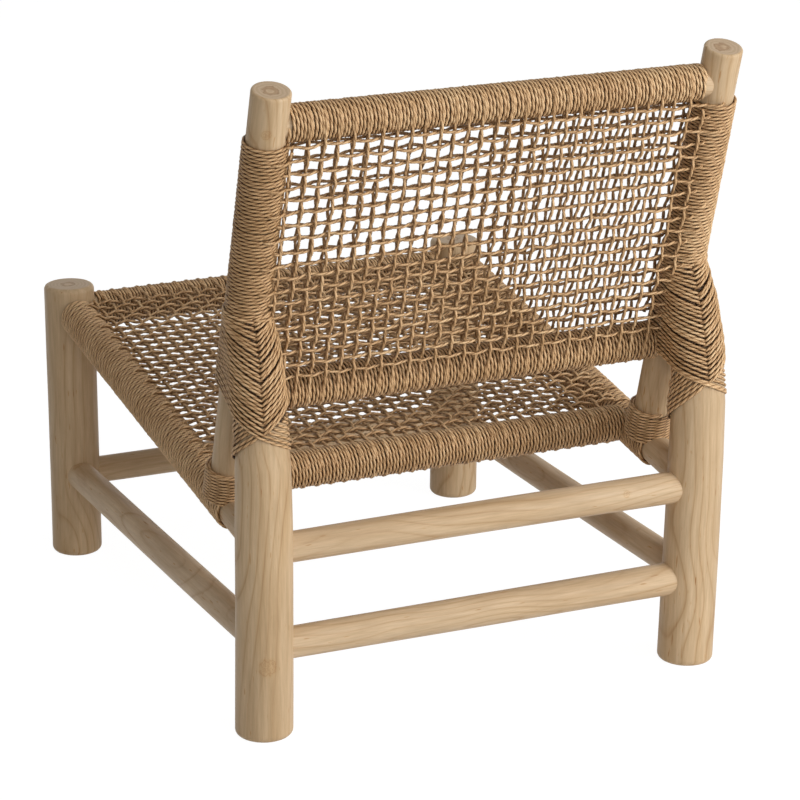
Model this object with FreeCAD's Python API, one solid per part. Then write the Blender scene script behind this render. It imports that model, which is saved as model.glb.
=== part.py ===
import FreeCAD, Part
import math
import os

# Low lounge chair of round teak branch wood, bound and woven with twisted cord.
# Millimetres. +Z is up, the sitter faces -Y, and the sitter's left is +X.
# The origin is on the floor, under the middle of the chair.

# Plan of the frame
leg_half_spacing = 267.0      # from the middle plane to a leg's axis
leg_depth_spacing = 643.0     # from a front leg's axis to a rear leg's axis

# Legs
front_leg_diameter = 62.0
front_leg_height = 354.0
leg_edge = 7.0                # how far the worn upper edge reaches in and down
foot_chamfer = 8.0
rear_leg_diameter = 64.0
rear_leg_shoulder_height = 372.0   # the leg is carved above this, leaning towards the post
rear_leg_tip_height = 480.0
rear_leg_tip_diameter = 48.0
rear_leg_tip_lean = 22.0      # of the tip ahead of the leg's axis
carved_facets = 12            # of the carved end, which its lashing covers

# Back posts, leaning back over the rear legs
post_diameter = 42.0
post_top_height = 740.0       # of the post's axis at its upper end
post_seat_ahead = 34.5        # of the rear leg's axis, at the height of the leg's tip
post_lean_degrees = 16.6
post_edge = 3.0

# Rails of the seat and back
side_rail_diameter = 36.0
side_rail_front_height = 324.0
side_rail_rear_height = 221.0
front_rail_diameter = 35.0
front_rail_height = 318.0
rear_rail_diameter = 36.0
rear_rail_setforward = 148.0  # ahead of the rear leg's axis
rear_rail_rise = 5.0          # above the side rails' axes
back_rail_diameter = 34.0
top_rail_drop = 40.0          # below the posts' upper ends
lower_rail_height = 377.0
lower_rail_diameter = 37.0

# Stretchers
side_stretcher_height = 108.0
side_stretcher_diameter = 36.0
front_stretcher_height = 103.5
front_stretcher_diameter = 34.0
rear_upper_height = 216.0
rear_upper_diameter = 36.0
rear_lower_height = 103.5
rear_lower_diameter = 37.0

# Joints in the wood
socket_floor = 20.0           # bars let into the legs stop this far from the leg's axis
tenon_diameter = 16.0         # of the rails between the posts and between the side rails
tenon_stop = 1.5              # those tenons stop this far from the axis of what they enter
joint_clearance = 0.05

# Cord and what is bound with it
cord_diameter = 4.2
post_bare_top = 57.0          # of wood above the binding of a post
cross_lashing_rise = 11.0     # of the cross lashing past the leg's tip, on the post's axis
cross_lashing_drop = 34.0     # below the leg's shoulder, on the leg
post_lashing_rise = 30.0      # of its lower end on the post, which is bare under it, past that on the leg
foot_lashing_length = 30.0
binding_facets = 16           # round each form that stands for turns of cord
side_wrap_end = 130.0         # ahead of the rear leg's axis
wrap_end_gap = 0.4            # between the end of a binding and what it runs up to

# Open weave of the back and seat
outer_pitch = 52.0            # between the cords of the rear and upper layers, about
inner_pitch = 69.0            # between the cords of the front and under layers, about
weave_lap = 8.5               # the weave starts this far from the axis of the bar that carries it

# Worked out from the sizes above
front_leg_radius = front_leg_diameter / 2
rear_leg_radius = rear_leg_diameter / 2
post_radius = post_diameter / 2
post_wrap_radius = post_radius + cord_diameter
side_wrap_radius = side_rail_diameter / 2 + cord_diameter
front_wrap_radius = front_rail_diameter / 2 + cord_diameter
rear_wrap_radius = rear_rail_diameter / 2 + cord_diameter
top_wrap_radius = back_rail_diameter / 2 + cord_diameter
lower_wrap_radius = lower_rail_diameter / 2 + cord_diameter
corner_reach = 1 / math.cos(math.pi / binding_facets)   # of a binding's corners, to that of its flats
lean = math.radians(post_lean_degrees)
post_top_setback = (post_top_height - rear_leg_tip_height) * math.tan(lean) - post_seat_ahead
top_rail_height = post_top_height - top_rail_drop
cross_lashing_top = rear_leg_tip_height + cross_lashing_rise
cross_lashing_bottom = rear_leg_shoulder_height - cross_lashing_drop
post_lashing_bottom = cross_lashing_bottom + post_lashing_rise
post_overhang = (
    post_top_setback + post_radius * math.cos(lean) - post_edge * math.sin(lean)
)
rear_y = (leg_depth_spacing + front_leg_radius - post_overhang) / 2
front_y = rear_y - leg_depth_spacing
rail_slope = (side_rail_front_height - side_rail_rear_height) / leg_depth_spacing
rear_rail_y = rear_y - rear_rail_setforward


def vec(x, y, z):
    return FreeCAD.Vector(x, y, z)


X_AXIS = vec(1, 0, 0)
Z_AXIS = vec(0, 0, 1)
ORIGIN = vec(0, 0, 0)


def rod(start, end, diameter):
    """A round bar between two points."""
    return Part.makeCylinder(diameter / 2, (end - start).Length, start, end - start)


def turned(profile, base, direction):
    """A solid of revolution from (radius, height) points, set on a base point along a direction."""
    outline = [(0, profile[0][1])] + profile + [(0, profile[-1][1]), (0, profile[0][1])]
    face = Part.Face(Part.makePolygon([vec(radius, 0, height) for radius, height in outline]))
    solid = face.revolve(ORIGIN, Z_AXIS, 360)
    solid.Placement = FreeCAD.Placement(base, FreeCAD.Rotation(Z_AXIS, direction))
    return solid


def worn_edge(radius, height, edge):
    """Profile points of a bar's bevelled upper edge."""
    return [(radius, height - edge), (radius - edge, height)]


def carved(facets, lower, upper, base, direction):
    """A tapered solid of flat facets. Each end is given as (distance of the flats, lean, height)."""
    rings = []
    for flats, leaning, height in (lower, upper):
        reach = flats / math.cos(math.pi / facets)
        angles = [2 * math.pi * facet / facets for facet in range(facets)]
        rings.append([vec(reach * math.cos(a), reach * math.sin(a) - leaning, height) for a in angles])
    ends = [rings[0][::-1], rings[1]]
    faces = [Part.Face(Part.makePolygon(ring + ring[:1])) for ring in ends]
    for facet in range(facets):
        following = (facet + 1) % facets
        side = [rings[0][facet], rings[0][following], rings[1][following], rings[1][facet]]
        faces.append(Part.Face(Part.makePolygon(side + side[:1])))
    solid = Part.Solid(Part.Shell(faces))
    solid.Placement = FreeCAD.Placement(base, FreeCAD.Rotation(Z_AXIS, direction))
    return solid


def mirrored(shape):
    return shape.mirror(ORIGIN, X_AXIS)


def joined(shapes):
    return shapes[0].multiFuse(shapes[1:]).removeSplitter()


def towards(start, end, distance):
    """The point that lies a distance from the start towards the end."""
    step = vec(end.x - start.x, end.y - start.y, end.z - start.z)
    return start + step * (distance / step.Length)


# Where the axes meet, on the +X side
def side_rail_point(y):
    return vec(leg_half_spacing, y, side_rail_rear_height + rail_slope * (rear_y - y))


def post_point(z):
    return vec(leg_half_spacing, rear_y + post_top_setback - (post_top_height - z) * math.tan(lean), z)


def post_foot_point():
    """Where a post's axis crosses the axis of its side rail."""
    run = (post_top_height - side_rail_rear_height) * math.tan(lean) - post_top_setback
    ahead = run / (1 + rail_slope * math.tan(lean))
    return side_rail_point(rear_y - ahead)


def across(y, z):
    """The two ends, at +X and -X, of an axis that runs from side to side."""
    return vec(leg_half_spacing, y, z), vec(-leg_half_spacing, y, z)


post_top = post_point(post_top_height)
post_foot = post_foot_point()
post_axis = (post_top - post_foot).normalize()
post_rear = vec(0, math.cos(lean), -math.sin(lean))
front_leg_foot = vec(leg_half_spacing, front_y, 0)
rear_leg_foot = vec(leg_half_spacing, rear_y, 0)
side_rail_ends = (side_rail_point(front_y), side_rail_point(rear_y))
rear_rail_height = side_rail_point(rear_rail_y).z + rear_rail_rise
top_rail_point = post_point(top_rail_height)
lower_rail_point = post_point(lower_rail_height)
front_rail_ends = across(front_y, front_rail_height)
rear_rail_ends = across(rear_rail_y, rear_rail_height)
top_rail_ends = across(top_rail_point.y, top_rail_point.z)
lower_rail_ends = across(lower_rail_point.y, lower_rail_point.z)
front_stretcher_ends = across(front_y, front_stretcher_height)
rear_upper_ends = across(rear_y, rear_upper_height)
rear_lower_ends = across(rear_y, rear_lower_height)
side_stretcher_ends = (
    front_leg_foot + Z_AXIS * side_stretcher_height,
    rear_leg_foot + Z_AXIS * side_stretcher_height,
)


# Round bars that the others are shaped to
front_leg_bar = rod(front_leg_foot, front_leg_foot + Z_AXIS * front_leg_height, front_leg_diameter)
post_bar = rod(post_foot, post_top, post_diameter)
side_rail_bar = rod(side_rail_ends[0], side_rail_ends[1], side_rail_diameter)


def let_in(axis, diameter):
    """A bar whose whole thickness is let into the legs at both ends."""
    return rod(towards(axis[0], axis[1], socket_floor), towards(axis[1], axis[0], socket_floor), diameter)


def socket(axis, end, diameter):
    """The socket for one end of such a bar."""
    middle = (axis[0] + axis[1]) * 0.5
    return rod(towards(axis[end], middle, socket_floor), middle, diameter + 2 * joint_clearance)


def tenon(axis, end, diameter):
    """The tenon at one end of a rail, from the rail's middle."""
    middle = (axis[0] + axis[1]) * 0.5
    return rod(middle, towards(axis[end], middle, tenon_stop), diameter)


def tenoned(axis, diameter, seats):
    """A rail whose shoulders are shaped to the round bars that it meets, with a tenon at each end."""
    body = rod(axis[0], axis[1], diameter).cut(seats)
    return joined([body, tenon(axis, 0, tenon_diameter), tenon(axis, 1, tenon_diameter)])


def mortise(axis):
    """The hole for the tenon at a rail's +X end."""
    return tenon(axis, 0, tenon_diameter + 2 * joint_clearance)


def both_sides(shape):
    return [shape, mirrored(shape)]


# Legs and posts
def foot_profile(radius):
    return [(radius - foot_chamfer, 0), (radius, foot_chamfer)]


def front_leg():
    profile = foot_profile(front_leg_radius) + worn_edge(front_leg_radius, front_leg_height, leg_edge)
    leg = turned(profile, front_leg_foot, Z_AXIS)
    return leg.cut([
        socket(side_rail_ends, 0, side_rail_diameter),
        socket(front_rail_ends, 0, front_rail_diameter),
        socket(side_stretcher_ends, 0, side_stretcher_diameter),
        socket(front_stretcher_ends, 0, front_stretcher_diameter),
    ])


def leg_tip(growth):
    """The carved upper end of a rear leg, or with growth what is bound round it."""
    shoulder = rear_leg_radius * math.cos(math.pi / carved_facets)
    return carved(carved_facets, (shoulder + growth, 0, rear_leg_shoulder_height),
                  (rear_leg_tip_diameter / 2 + growth, rear_leg_tip_lean, rear_leg_tip_height + growth),
                  rear_leg_foot, Z_AXIS)


def rear_leg_blank():
    profile = foot_profile(rear_leg_radius) + [(rear_leg_radius, rear_leg_shoulder_height)]
    return joined([turned(profile, rear_leg_foot, Z_AXIS), leg_tip(0)])


def rear_leg():
    """Carved to a blunt leaning tip and hollowed along its front to seat the post."""
    return rear_leg_blank().cut([
        post_bar,
        socket(side_rail_ends, 1, side_rail_diameter),
        socket(side_stretcher_ends, 1, side_stretcher_diameter),
        socket(rear_upper_ends, 0, rear_upper_diameter),
        socket(rear_lower_ends, 0, rear_lower_diameter),
    ])


def back_post():
    """A leaning post, its foot hollowed to stand astride the side rail."""
    length = (post_top - post_foot).Length
    profile = [(post_radius, 0)] + worn_edge(post_radius, length, post_edge)
    return turned(profile, post_foot, post_axis).cut([
        side_rail_bar,
        mortise(top_rail_ends),
        mortise(lower_rail_ends),
    ])


# Rails that carry mortises
def side_rail():
    return let_in(side_rail_ends, side_rail_diameter).cut(mortise(rear_rail_ends))


# Cord bound round the wood, each binding as the faceted sleeve that its close turns make
def bound(radius, start, end):
    """A faceted bar between two points, as thick as a binding."""
    return carved(binding_facets, (radius, 0, 0), (radius, 0, (end - start).Length), start, end - start)


def sleeve(start, end, diameter):
    return bound(diameter / 2 + cord_diameter, start, end).cut(bound(diameter / 2, start, end))


def rail_sleeve(axis, diameter, reach):
    """The binding of a rail that runs from side to side, as far as reach from the middle."""
    start = vec(reach, axis[0].y, axis[0].z)
    end = vec(-reach, axis[0].y, axis[0].z)
    return sleeve(start, end, diameter)


def side_wrap():
    """The binding of a side rail, parted where the rear rail goes in."""
    slope = math.hypot(1, rail_slope)
    corner = side_wrap_radius * corner_reach
    start = side_rail_point(front_y + (front_leg_radius + wrap_end_gap) * slope + corner * rail_slope)
    binding = sleeve(start, side_rail_point(rear_y - side_wrap_end), side_rail_diameter)
    return binding.cut(rod(rear_rail_ends[0], rear_rail_ends[1], rear_rail_diameter))


def post_wrap():
    """The binding of a post, parted where the upper back rail goes in."""
    start = post_top - post_axis * post_bare_top
    binding = sleeve(start, post_point(cross_lashing_top), post_diameter)
    return binding.cut(rod(top_rail_ends[0], top_rail_ends[1], back_rail_diameter))


def foot_lashing():
    """Turns of cord round the post's foot, on top of the side rail."""
    tilt = post_axis.getAngle(vec(0, rail_slope, 1))
    clear = (side_rail_diameter / 2 + post_wrap_radius * corner_reach * math.sin(tilt)) / math.cos(tilt)
    start = post_foot + post_axis * (clear + wrap_end_gap)
    return sleeve(start, start + post_axis * foot_lashing_length, post_diameter)


def lashed_together(growth):
    """What a cross lashing goes round, or with growth its outside: leg, post and the crotch between them."""
    leg_low = rear_leg_foot + Z_AXIS * cross_lashing_bottom
    leg_high = rear_leg_foot + Z_AXIS * rear_leg_shoulder_height
    leg_end = rear_leg_foot + Z_AXIS * rear_leg_tip_height
    post_low = post_point(post_lashing_bottom)
    post_high = post_point(cross_lashing_top)
    crotch = Part.Face(Part.makePolygon([leg_low, leg_end, post_high, post_low, leg_low]))
    crotch.translate(X_AXIS * -(post_radius + growth))
    return joined([
        bound(rear_leg_radius + growth, leg_low, leg_high),
        leg_tip(growth),
        bound(post_radius + growth, post_low, post_high),
        crotch.extrude(X_AXIS * 2 * (post_radius + growth)),
    ])


def cross_lashing():
    """Cord crossed round the leg and the post where they meet, clear of the lower back rail."""
    return lashed_together(cord_diameter).cut([
        lashed_together(0),
        bound(post_radius, post_foot, post_top),
        bound(2 * post_wrap_radius, post_point(cross_lashing_top), post_top),
        rod(lower_rail_ends[0], lower_rail_ends[1], lower_rail_diameter),
    ])


# Open weave
def weave(width, length, side_seat, end_seat, pitch):
    """A flat sheet of crossing cords in the XY plane, from its first rail along +Y.
    Gaps fill the sheet between the seats, where it meets its sides and its rails."""
    half = width / 2
    edge = half - weave_lap
    corners = [vec(-edge, weave_lap, 0), vec(edge, weave_lap, 0),
               vec(edge, length - weave_lap, 0), vec(-edge, length - weave_lap, 0)]
    outline = Part.makePolygon(corners + corners[:1])
    span_x = width - 2 * side_seat - cord_diameter
    span_y = length - 2 * end_seat - cord_diameter
    gaps_across = round(span_x / pitch)
    gaps_along = round(span_y / pitch)
    pitch_x = span_x / gaps_across
    pitch_y = span_y / gaps_along
    holes = []
    for column in range(gaps_across):
        left = -half + side_seat + cord_diameter + column * pitch_x
        right = left + pitch_x - cord_diameter
        for row in range(gaps_along):
            low = end_seat + cord_diameter + row * pitch_y
            high = low + pitch_y - cord_diameter
            hole = [vec(left, low, 0), vec(right, low, 0), vec(right, high, 0), vec(left, high, 0)]
            holes.append(Part.makePolygon(hole + hole[:1]))
    sheet = Part.makeFace([outline] + holes, "Part::FaceMakerBullseye")
    return sheet.extrude(vec(0, 0, cord_diameter))


def seat_line(wrap_radius, inner_face):
    """How far from a bound bar's axis a sheet's inner face meets the binding."""
    return math.sqrt(wrap_radius ** 2 - inner_face ** 2)


def laid_between(sheet, start, end, offset):
    """Moves a sheet so that its +Y runs from one axis point to another, offset along its normal."""
    along = (end - start).normalize()
    turn = FreeCAD.Rotation(X_AXIS, along, X_AXIS.cross(along), "XYZ")
    placed = sheet.copy()
    placed.Placement = FreeCAD.Placement(start + X_AXIS.cross(along) * offset, turn)
    return placed


def cleared(sheet, bindings):
    """Cuts a sheet back to each binding in turn."""
    for binding in bindings:
        sheet = sheet.cut(binding)
    return sheet


def back_weave(behind, pitch):
    start = vec(0, lower_rail_point.y, lower_rail_point.z)
    end = vec(0, top_rail_point.y, top_rail_point.z)
    inner_face = top_wrap_radius - cord_diameter
    sheet = weave(2 * leg_half_spacing, (end - start).Length, seat_line(post_wrap_radius, inner_face),
                  seat_line(lower_wrap_radius, inner_face), pitch)
    offset = -top_wrap_radius if behind else inner_face
    return cleared(laid_between(sheet, start, end, offset), back_bindings)


def seat_weave(on_top, pitch):
    start = vec(0, front_y, front_rail_height)
    end = vec(0, rear_rail_y, rear_rail_height)
    inner_face = front_wrap_radius - cord_diameter
    sheet = weave(2 * leg_half_spacing, (end - start).Length, seat_line(side_wrap_radius, inner_face),
                  seat_line(rear_wrap_radius, inner_face), pitch)
    offset = inner_face if on_top else -front_wrap_radius
    return cleared(laid_between(sheet, start, end, offset), seat_bindings)


post_binding = bound(post_wrap_radius, post_foot, post_top - post_axis * post_bare_top)
back_bindings = (
    both_sides(post_binding) + both_sides(post_bar) + both_sides(lashed_together(cord_diameter))
    + [bound(top_wrap_radius, *top_rail_ends), bound(lower_wrap_radius, *lower_rail_ends)]
)
side_binding = bound(side_wrap_radius, *side_rail_ends)
seat_bindings = (
    both_sides(side_binding) + both_sides(front_leg_bar) + both_sides(post_binding)
    + [bound(front_wrap_radius, *front_rail_ends), bound(rear_wrap_radius, *rear_rail_ends)]
)
back_reach = leg_half_spacing - post_wrap_radius * corner_reach - wrap_end_gap
front_reach = leg_half_spacing - front_leg_radius - wrap_end_gap
rear_reach = leg_half_spacing - side_wrap_radius * corner_reach - wrap_end_gap

nodes = {
    "seat_front_rail": let_in(front_rail_ends, front_rail_diameter),
    "seat_rear_rail": tenoned(rear_rail_ends, rear_rail_diameter, both_sides(side_rail_bar)),
    "back_top_rail": tenoned(top_rail_ends, back_rail_diameter, both_sides(post_bar)),
    "back_lower_rail": tenoned(lower_rail_ends, lower_rail_diameter, both_sides(post_bar)),
    "front_stretcher": let_in(front_stretcher_ends, front_stretcher_diameter),
    "rear_upper_stretcher": let_in(rear_upper_ends, rear_upper_diameter),
    "rear_lower_stretcher": let_in(rear_lower_ends, rear_lower_diameter),
    "seat_front_rail_wrap": rail_sleeve(front_rail_ends, front_rail_diameter, front_reach),
    "seat_rear_rail_wrap": rail_sleeve(rear_rail_ends, rear_rail_diameter, rear_reach),
    "back_top_rail_wrap": rail_sleeve(top_rail_ends, back_rail_diameter, back_reach),
    "back_lower_rail_wrap": rail_sleeve(lower_rail_ends, lower_rail_diameter, back_reach),
    "back_net_rear": back_weave(True, outer_pitch),
    "back_net_front": back_weave(False, inner_pitch),
    "seat_net_top": seat_weave(True, outer_pitch),
    "seat_net_under": seat_weave(False, inner_pitch),
}
paired = {
    "front_leg": front_leg(),
    "rear_leg": rear_leg(),
    "back_post": back_post(),
    "seat_side_rail": side_rail(),
    "side_stretcher": let_in(side_stretcher_ends, side_stretcher_diameter),
    "seat_side_rail_wrap": side_wrap(),
    "back_post_wrap": post_wrap(),
    "post_foot_lashing": foot_lashing(),
    "cross_lashing": cross_lashing(),
}
for name, shape in paired.items():
    nodes[name + "_left"] = shape
    nodes[name + "_right"] = mirrored(shape)

os.makedirs("parts", exist_ok=True)
for name, shape in nodes.items():
    if not shape.isValid():
        raise ValueError(name + " is not a valid solid")
    shape.exportStep("parts/" + name + ".step")
    print(name, len(shape.Solids), round(shape.Volume))
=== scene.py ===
import bpy
import math
import numpy as np
from mathutils import Matrix, Vector


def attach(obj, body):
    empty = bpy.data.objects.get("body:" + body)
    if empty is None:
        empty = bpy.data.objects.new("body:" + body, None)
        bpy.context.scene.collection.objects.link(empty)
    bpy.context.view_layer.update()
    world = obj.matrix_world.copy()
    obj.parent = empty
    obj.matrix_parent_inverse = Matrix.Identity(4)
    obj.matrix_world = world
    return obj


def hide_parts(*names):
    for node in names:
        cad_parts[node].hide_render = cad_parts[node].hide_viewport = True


# Low lounge chair of teak branches, bound and woven with twisted two-ply cord.
# Metres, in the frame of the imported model: +Z up, the sitter faces -Y, the sitter's left is +X.
# Where a value has two sides, 1 is the left and -1 the right. Each piece has its own seed for random draws.
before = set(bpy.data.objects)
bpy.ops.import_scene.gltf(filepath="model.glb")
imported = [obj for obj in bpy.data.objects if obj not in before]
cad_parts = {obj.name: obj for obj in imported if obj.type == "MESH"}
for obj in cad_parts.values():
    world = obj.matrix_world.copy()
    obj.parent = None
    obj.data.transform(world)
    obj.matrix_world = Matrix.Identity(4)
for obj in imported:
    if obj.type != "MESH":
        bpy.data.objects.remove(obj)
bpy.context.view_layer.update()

# Frame of the chair
leg_half_spacing = 0.267
leg_depth_spacing = 0.643
rear_y = 0.3059  # of the rear legs' axes
front_leg_radius = 0.0315
front_leg_height = 0.354
rear_leg_tip_height = 0.478
leg_edge = 0.006
foot_edge = 0.007
post_radius = 0.0217
post_top_height = 0.740
post_top_setback = 0.043
post_lean = math.radians(16.6)
post_edge = 0.003
post_foot_lift = 0.004  # above the side rail's axis
socket_floor = 0.012  # bars let into the legs stop this far from the leg's axis

# How far the rear legs and the posts stand out sideways, and the legs are bowed, as hand work does
leg_foot_out = {1: 0.0014, -1: -0.0008}
leg_neck_out = {1: 0.0, -1: 0.0074}
leg_bow = {1: -0.0010, -1: 0.0015}
post_out = {1: 0.0006, -1: 0.0023}

# Rear leg's axis and radius by height: carved above the neck, to die into the post at the last
neck_height = 0.345
core_heights = (0.0, 0.250, 0.318, 0.350, 0.400, 0.440, 0.478)
core_leans = (0.0, 0.0, 0.0, 0.0, 0.0085, 0.0175, 0.0351)
core_radii = (0.0326, 0.0321, 0.0308, 0.0276, 0.0264, 0.0242, 0.0218)
tip_shrink = 0.007  # of the wood under the lashing
tip_shrink_start = 0.015  # above the neck
tip_shrink_run = 0.10

# Rails and stretchers
side_rail_radius = 0.018
side_rail_front_height = 0.324
side_rail_rear_height = 0.221
front_rail_radius = 0.0175
front_rail_height = 0.318
rear_rail_radius = 0.018
rear_rail_setforward = 0.148
rear_rail_rise = 0.005
top_rail_radius = 0.017
top_rail_height = 0.700
lower_rail_radius = 0.0185
lower_rail_height = 0.377
side_stretcher_height = 0.108
side_stretcher_radius = 0.018
front_stretcher_height = 0.1035
front_stretcher_radius = 0.017
rear_upper_height = 0.216
rear_upper_radii = (0.0172, 0.0187)  # at its left and right ends
rear_lower_height = 0.1035
rear_lower_radii = (0.0180, 0.0192)

# Branch wood
branch_sides = 64  # of its mesh
branch_step = 0.003  # between its rings
uneven_round = 0.0045  # of its skin, as a share of its radius
uneven_along = 0.003
grown_bow = 0.0008  # of its middle, at random
knot_length = 2.2  # of the swelling at a knot, in knot sizes
knot_width = 1.3
edge_steps = (0.2, 0.4, 0.6, 0.8, 1.0)  # rings round an end's edge
face_shares = (0.97, 0.6, 0.2)  # rings over an end's face
sharp_edge = 0.0002  # of an end that isn't worn
bar_paleness = 0.7  # share of sapwood in rails and stretchers

# Knots that show in the photograph, by piece: (height, turn, size, swelling)
knots = {
    "rear_leg_left": [(0.092, 1.30, 0.009, 0.0010)],
    "back_post_left": [(0.478, 1.15, 0.0050, 0.0)],
    "back_post_right": [(0.513, 2.3, 0.0030, 0.0)],
    "side_stretcher_left": [(0.022, 5.2, 0.006, 0.0008)],
    "side_stretcher_right": [(0.52, 5.0, 0.003, 0.0)],
    "rear_upper_stretcher": [(0.43, 1.2, 0.0042, 0.0)],
}

# Cord
cord_diameter = 0.0041
cord_lay = 0.0225  # length of one full twist of its two plies
cord_step = 0.0019  # between the rings of its mesh
ply_section = np.array([1.0, 0.95, 0.75, 0.95, 1.0, 0.95, 0.75, 0.95])
cord_unevenness = 0.025  # of its thickness
tone_along = 0.3  # how much its tone changes along it
tone_apart = 0.4  # and from cord to cord
painted_shade_start = 0.62  # sides that face out less than this get painted shade
painted_shade_run = 0.9
free_crowding = 0.3  # share of the painted shade left where a winding ends

# Bindings of rails and posts
turn_pitch = 0.0042  # between turns
turn_points = 48  # of each turn
turn_stray = 0.00020  # of the turns along a bar
turn_rise = 0.00018  # and out from it
tuck_depth = 1.2  # of a cord's ends under its turns, in cord diameters
front_wrap_gap = 0.0005  # to the front legs
rear_wrap_lap = 0.004  # onto the side rails
top_wrap_lap = {1: 0.006, -1: 0.003}  # onto the posts' bindings
lower_wrap_lap = 0.006
side_wrap_cord = 0.0048  # thickness of its cord
side_wrap_lap = 0.002  # onto the front legs
side_wrap_end = 0.084  # from the rear legs' axes
post_bare_top = {1: 0.0585, -1: 0.0625}
post_wrap_bottom = 0.479

# Open weave
steepest = 0.9  # sine of the greatest turn, here and in the lashings
net_cord = 0.0042  # thickness of its cords
net_step = 0.0028  # between the rings of their meshes
weave_step = 0.0024  # between the points of their paths
weave_rise = 0.0019  # of a cord over and under others
warp_pitch = 0.0167
weft_pitch = 0.0160
far_weft_pitch = 0.0169  # of the back's front layer
under_weft_pitch = 0.0164  # of the seat's lower layer
under_warp_pitch = 0.0171
under_warp_shift = -0.0022
half_warps = 14  # between the middle and the warp at an edge
back_edge_warp = 0.2455  # from the middle
seat_edge_warp = 0.2430
first_weft = 0.030  # from the first rail's axis
far_first_weft = 0.029  # and in the layers behind
last_weft_gap = 0.0165  # from the last rail's axis, at least
aside_most = 0.0042  # of the back's front warps, drawn to the right on a line
aside_change = 0.0055  # between that line and far from it
aside_line = 0.045
aside_width = 0.095
place_stray = 0.0005  # of the cords from even places
crossing_stray = 0.0006  # of each crossing from its cords' lines
edge_warp_trim = 10  # points that the warps at the edges stop short
bend_points = 14  # of a cord's end, bent round a bar
warp_bend = 1.25  # of a warp round a rail, in radians
warp_bend_stray = 0.3
warp_proud = 0.0012
warp_tuck = 0.0045
warp_tuck_start = 0.8
warp_tuck_run = 0.6
weft_bends = (0.12, 0.75)  # of a weft onto a side bar, near and far by turns, in radians
weft_bend_stray = 0.15
weft_proud = 0.0004
weft_tuck = 0.0042
weft_tuck_start = 0.55  # as a share of the bend
weft_tuck_run = 0.45
weft_skew = 0.002  # along the bar

# Cross lashings, in chevrons about a middle line near the rear of the leg
lashing_cord = 0.0039
chevron_bottom = {1: 0.3555, -1: 0.3450}  # lowest point of the middle line
chevron_top = 0.478
chevron_pitch = 0.0052
middle_turn = {1: -0.36, -1: 0.20}  # from the leg's rear, in radians
middle_return = {1: 0.4, -1: 0.0}  # share of that turn lost on the way up
middle_return_run = 0.12
outer_rise = {1: 0.68, -1: 0.64}  # slopes of the strands on top
inner_rise = {1: 0.76, -1: 0.40}
outer_fall = {1: 0.66, -1: 0.48}  # and under them
inner_fall = {1: 0.48, -1: 0.86}
flattest = 0.30  # share of the slopes left at the top
flat_run = 0.045
rise_reach = 0.150  # longest run of a strand on top
rise_ease = 0.075  # length in which its slope eases off
fall_reach = 0.100
fall_ease = 0.10
front_lap = 0.004  # of a strand past the front
first_lap = 0.0016  # how far past the middle line a strand stays on top
second_lap = -0.0022
sink_run = 0.0008  # length in which it goes under
strand_height = 0.0022  # of a strand on top
sink_depth = 0.0027
# Shade painted on a strand where it lies under others
painted_shade_under_strands = 0.62
open_fall = 0.002  # a strand gets painted shade where it lies under others only above this, over the lowest chevron
open_fall_slope = 0.5
strand_stray = 0.0005
slope_stray = 0.022
height_stray = 0.0003
# Shade painted between a lashing's strands, by side
lashing_painted_shade = {1: 0.76, -1: 0.64}
least_gap = 0.0005  # between leg and post, for a strand to go round both
least_span = 0.001  # a smaller gap counts as this

# Foot lashings
foot_lashing_turns = 10
foot_lashing_pitch = 0.0039
foot_lashing_start = 0.010  # above the side rail's axis
foot_lashing_layer = 0.0032  # between its two layers

# Camera and lamps
camera_place = (1.5076, 3.4144, 1.4708)
camera_yaw = math.radians(204.33)
camera_pitch = math.radians(17.91)
camera_lens = 146.5  # mm, as is the sensor
camera_sensor = 36
lamp_aim = (0.0, 0.0, 0.35)
floor_half = 9

cord_radius = cord_diameter / 2
front_y = rear_y - leg_depth_spacing
rail_slope = (side_rail_front_height - side_rail_rear_height) / leg_depth_spacing
rear_rail_y = rear_y - rear_rail_setforward
both_sides = ((1, "left"), (-1, "right"))

X = np.array([1.0, 0.0, 0.0])
Z = np.array([0.0, 0.0, 1.0])


# Vectors, and points on the axes of the frame
def vec(x, y, z):
    return np.array([x, y, z], dtype=float)


def unit(v):
    return v / np.linalg.norm(v)


def clamped(value, low, high):
    return max(low, min(high, value))


def perpendicular(direction):
    first = unit(np.cross(direction, X if abs(direction[0]) < 0.9 else Z))
    return first, np.cross(direction, first)


def leg_point(y, z, side):
    return vec(side * leg_half_spacing, y, z)


def leg_out(z, side):
    """How far a rear leg's axis stands out sideways."""
    return leg_foot_out[side] + (leg_neck_out[side] - leg_foot_out[side]) * z / neck_height


def rear_leg_point(z, side):
    return leg_point(rear_y, z, side) + side * leg_out(z, side) * X


def side_rail_point(y, side):
    return leg_point(y, side_rail_rear_height + rail_slope * (rear_y - y), side)


def post_ahead(z):
    """How far the post's axis is ahead of the rear leg's axis."""
    return (post_top_height - z) * math.tan(post_lean) - post_top_setback


def post_point(z, side):
    return leg_point(rear_y - post_ahead(z), z, side) + side * post_out[side] * X


def post_foot_point(side):
    """Where the post's axis meets the side rail's."""
    run = post_ahead(side_rail_rear_height)
    return side_rail_point(rear_y - run / (1 + rail_slope * math.tan(post_lean)), side)


def across(y, z):
    return vec(leg_half_spacing, y, z), vec(-leg_half_spacing, y, z)


def rail_middle(axis):
    return vec(0, axis[0][1], axis[0][2])


post_axis = vec(0, math.sin(post_lean), math.cos(post_lean))
post_rear = vec(0, math.cos(post_lean), -math.sin(post_lean))
rear_rail_height = side_rail_point(rear_rail_y, 1)[2] + rear_rail_rise
front_rail_axis = across(front_y, front_rail_height)
rear_rail_axis = across(rear_rail_y, rear_rail_height)
top_rail_axis = across(post_point(top_rail_height, 1)[1], top_rail_height)
lower_rail_axis = across(post_point(lower_rail_height, 1)[1], lower_rail_height)


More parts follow.
